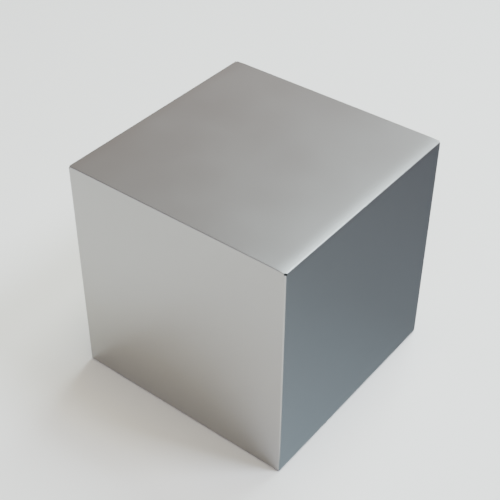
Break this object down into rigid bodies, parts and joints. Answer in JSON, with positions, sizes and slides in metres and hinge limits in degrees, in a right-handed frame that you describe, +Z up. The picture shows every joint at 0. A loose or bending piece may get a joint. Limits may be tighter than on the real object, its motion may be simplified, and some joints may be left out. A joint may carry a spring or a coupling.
{
  "type": "mirror block cube",
  "caption": "Cube-shaped twisting puzzle whose layers all have different thicknesses, with satin metal-film faces, hooked feet and a sprung, screwed core.",
  "frame": {"origin": "centre of the square footprint, on the face the cube stands on", "axes": "+Z up through the cube; -Y is the front, +X the right. The three turning axes meet at (9, -6, 30.5) mm, not at the middle of the cube"},
  "size_m": [0.057, 0.057, 0.057],
  "materials": {
    "film_faced_abs": "satin silver metal film over moulded ABS",
    "black_abs": "fine moulded grain",
    "white_nylon": "natural moulded nylon",
    "zinc_plated_steel": "bright zinc plate",
    "spring_steel": "drawn wire"
  },
  "bodies": {
    "middle_layer": {"edge_front_left": "film_faced_abs", "edge_front_right": "film_faced_abs", "edge_back_left": "film_faced_abs", "edge_back_right": "film_faced_abs", "centre_front": "black_abs", "centre_back": "black_abs", "centre_left": "black_abs", "centre_right": "black_abs", "cap_front": "film_faced_abs", "cap_back": "film_faced_abs", "cap_left": "film_faced_abs", "cap_right": "film_faced_abs", "core": "white_nylon", "screw_top": "zinc_plated_steel", "screw_bottom": "zinc_plated_steel", "screw_front": "zinc_plated_steel", "screw_back": "zinc_plated_steel", "screw_left": "zinc_plated_steel", "screw_right": "zinc_plated_steel", "spring_top": "spring_steel", "spring_bottom": "spring_steel", "spring_front": "spring_steel", "spring_back": "spring_steel", "spring_left": "spring_steel", "spring_right": "spring_steel", "washer_top": "zinc_plated_steel", "washer_bottom": "zinc_plated_steel", "washer_front": "zinc_plated_steel", "washer_back": "zinc_plated_steel", "washer_left": "zinc_plated_steel", "washer_right": "zinc_plated_steel"},
    "top_layer": {"corner_top_front_left": "film_faced_abs", "corner_top_front_right": "film_faced_abs", "corner_top_back_left": "film_faced_abs", "corner_top_back_right": "film_faced_abs", "edge_top_front": "film_faced_abs", "edge_top_back": "film_faced_abs", "edge_top_left": "film_faced_abs", "edge_top_right": "film_faced_abs", "centre_top": "black_abs", "cap_top": "film_faced_abs"},
    "bottom_layer": {"corner_bottom_front_left": "film_faced_abs", "corner_bottom_front_right": "film_faced_abs", "corner_bottom_back_left": "film_faced_abs", "corner_bottom_back_right": "film_faced_abs", "edge_bottom_front": "film_faced_abs", "edge_bottom_back": "film_faced_abs", "edge_bottom_left": "film_faced_abs", "edge_bottom_right": "film_faced_abs", "centre_bottom": "black_abs", "cap_bottom": "film_faced_abs"}
  },
  "joints": [
    {"name": "top_layer_turn", "type": "hinge", "parent": "middle_layer", "child": "top_layer", "pos_m": [0.009, -0.006, 0.0305], "axis": [0, 0, 1], "continuous": true},
    {"name": "bottom_layer_turn", "type": "hinge", "parent": "middle_layer", "child": "bottom_layer", "pos_m": [0.009, -0.006, 0.0305], "axis": [0, 0, 1], "continuous": true}
  ]
}
